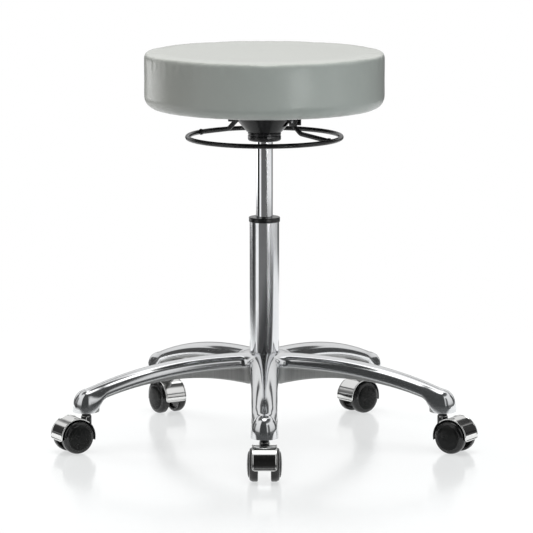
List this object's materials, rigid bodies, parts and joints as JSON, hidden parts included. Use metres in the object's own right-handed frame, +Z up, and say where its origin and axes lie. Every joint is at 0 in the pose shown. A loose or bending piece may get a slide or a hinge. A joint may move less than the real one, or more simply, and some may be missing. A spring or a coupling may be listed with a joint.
{
  "type": "lab stool",
  "caption": "Height-adjustable round padded stool: ring lever under the seat, chrome gas-lift column, five-leg polished base on swivelling twin-wheel hooded casters.",
  "frame": {"origin": "on the floor under the column axis", "axes": "+Z up along the column, -Y along the front leg, +X to the right of a viewer who stands in front of that leg"},
  "size_m": [0.7179, 0.651, 0.6645],
  "materials": {
    "polished_casting": "polished",
    "chrome_tube": "polished",
    "chrome_hood": "polished",
    "steel": "satin",
    "satin_mount": "satin",
    "black_wire": "gloss",
    "black_gloss": "gloss",
    "black_nylon": "satin",
    "black_wheel": "satin",
    "dust_cloth": "matte",
    "plywood": "matte",
    "vinyl": "satin"
  },
  "bodies": {
    "base": {"base_casting": "polished_casting", "column_tube": "chrome_tube", "guide_bush": "black_gloss", "lower_race": "steel", "ball_cage": "black_nylon", "stem_front": "steel", "stem_left": "steel", "stem_right": "steel", "stem_rear_left": "steel", "stem_rear_right": "steel", "neck_ring_front": "black_nylon", "neck_ring_left": "black_nylon", "neck_ring_right": "black_nylon", "neck_ring_rear_left": "black_nylon", "neck_ring_rear_right": "black_nylon"},
    "rod": {"piston_rod": "steel", "piston_head": "black_nylon", "upper_race": "steel", "rod_clip": "steel"},
    "seat": {"gas_cylinder": "chrome_tube", "cylinder_gland": "black_nylon", "seat_mount": "satin_mount", "mount_collar": "black_gloss", "lever_bracket_right": "black_wire", "lever_bracket_left": "black_wire", "lever_pin_right": "steel", "lever_pin_left": "steel", "seat_plate": "steel", "seat_bolt_1": "steel", "seat_bolt_2": "steel", "seat_bolt_3": "steel", "seat_bolt_4": "steel", "dust_cover": "dust_cloth", "seat_board": "plywood", "seat_cushion": "vinyl"},
    "lever": {"lever_ring": "black_wire"},
    "valve": {"valve_pin": "steel"},
    "caster_front": {"hood_front": "chrome_hood", "axle_front": "steel"},
    "wheel_front_a": {"wheel_front_a": "black_wheel"},
    "wheel_front_b": {"wheel_front_b": "black_wheel"},
    "caster_left": {"hood_left": "chrome_hood", "axle_left": "steel"},
    "wheel_left_a": {"wheel_left_a": "black_wheel"},
    "wheel_left_b": {"wheel_left_b": "black_wheel"},
    "caster_right": {"hood_right": "chrome_hood", "axle_right": "steel"},
    "wheel_right_a": {"wheel_right_a": "black_wheel"},
    "wheel_right_b": {"wheel_right_b": "black_wheel"},
    "caster_rear_left": {"hood_rear_left": "chrome_hood", "axle_rear_left": "steel"},
    "wheel_rear_left_a": {"wheel_rear_left_a": "black_wheel"},
    "wheel_rear_left_b": {"wheel_rear_left_b": "black_wheel"},
    "caster_rear_right": {"hood_rear_right": "chrome_hood", "axle_rear_right": "steel"},
    "wheel_rear_right_a": {"wheel_rear_right_a": "black_wheel"},
    "wheel_rear_right_b": {"wheel_rear_right_b": "black_wheel"}
  },
  "joints": [
    {"name": "seat_swivel", "type": "hinge", "parent": "base", "child": "rod", "pos_m": [0, 0, 0.1], "axis": [0, 0, 1], "continuous": true},
    {"name": "gas_lift", "type": "slide", "parent": "rod", "child": "seat", "axis": [0, 0, 1], "range_m": [-0.122, 0.068]},
    {"name": "lever_tilt", "type": "hinge", "parent": "seat", "child": "lever", "pos_m": [0.05133, -0.03084, 0.55088], "axis": [-0.515, -0.8572, 0], "range_deg": [0, 2.85], "stiffness_Nm_per_rad": 20, "springref_deg": -3.44},
    {"name": "valve_press", "type": "slide", "parent": "seat", "child": "valve", "axis": [0, 0, -1], "range_m": [0, 0.003]},
    {"name": "swivel_front", "type": "hinge", "parent": "base", "child": "caster_front", "pos_m": [0, -0.3156, 0.05], "axis": [0, 0, 1], "continuous": true},
    {"name": "spin_front_a", "type": "hinge", "parent": "caster_front", "child": "wheel_front_a", "pos_m": [0, -0.3406, 0.028], "axis": [1, 0, 0], "continuous": true},
    {"name": "spin_front_b", "type": "hinge", "parent": "caster_front", "child": "wheel_front_b", "pos_m": [0, -0.3406, 0.028], "axis": [1, 0, 0], "continuous": true},
    {"name": "swivel_left", "type": "hinge", "parent": "base", "child": "caster_left", "pos_m": [-0.30015, -0.09753, 0.05], "axis": [0, 0, 1], "continuous": true},
    {"name": "spin_left_a", "type": "hinge", "parent": "caster_left", "child": "wheel_left_a", "pos_m": [-0.3218, -0.11003, 0.028], "axis": [0.5, -0.866, 0], "continuous": true},
    {"name": "spin_left_b", "type": "hinge", "parent": "caster_left", "child": "wheel_left_b", "pos_m": [-0.3218, -0.11003, 0.028], "axis": [0.5, -0.866, 0], "continuous": true},
    {"name": "swivel_right", "type": "hinge", "parent": "base", "child": "caster_right", "pos_m": [0.30015, -0.09753, 0.05], "axis": [0, 0, 1], "continuous": true},
    {"name": "spin_right_a", "type": "hinge", "parent": "caster_right", "child": "wheel_right_a", "pos_m": [0.32112, -0.11114, 0.028], "axis": [0.5446, 0.8387, 0], "continuous": true},
    {"name": "spin_right_b", "type": "hinge", "parent": "caster_right", "child": "wheel_right_b", "pos_m": [0.32112, -0.11114, 0.028], "axis": [0.5446, 0.8387, 0], "continuous": true},
    {"name": "swivel_rear_left", "type": "hinge", "parent": "base", "child": "caster_rear_left", "pos_m": [-0.18551, 0.25533, 0.05], "axis": [0, 0, 1], "continuous": true},
    {"name": "spin_rear_left_a", "type": "hinge", "parent": "caster_rear_left", "child": "wheel_rear_left_a", "pos_m": [-0.17226, 0.23412, 0.028], "axis": [0.848, 0.5299, 0], "continuous": true},
    {"name": "spin_rear_left_b", "type": "hinge", "parent": "caster_rear_left", "child": "wheel_rear_left_b", "pos_m": [-0.17226, 0.23412, 0.028], "axis": [0.848, 0.5299, 0], "continuous": true},
    {"name": "swivel_rear_right", "type": "hinge", "parent": "base", "child": "caster_rear_right", "pos_m": [0.18551, 0.25533, 0.05], "axis": [0, 0, 1], "continuous": true},
    {"name": "spin_rear_right_a", "type": "hinge", "parent": "caster_rear_right", "child": "wheel_rear_right_a", "pos_m": [0.16635, 0.23926, 0.028], "axis": [0.6428, -0.766, 0], "continuous": true},
    {"name": "spin_rear_right_b", "type": "hinge", "parent": "caster_rear_right", "child": "wheel_rear_right_b", "pos_m": [0.16635, 0.23926, 0.028], "axis": [0.6428, -0.766, 0], "continuous": true}
  ],
  "couplings": [
    {"joint": "valve_press", "follows": "lever_tilt", "m_per_rad": 0.05988}
  ]
}
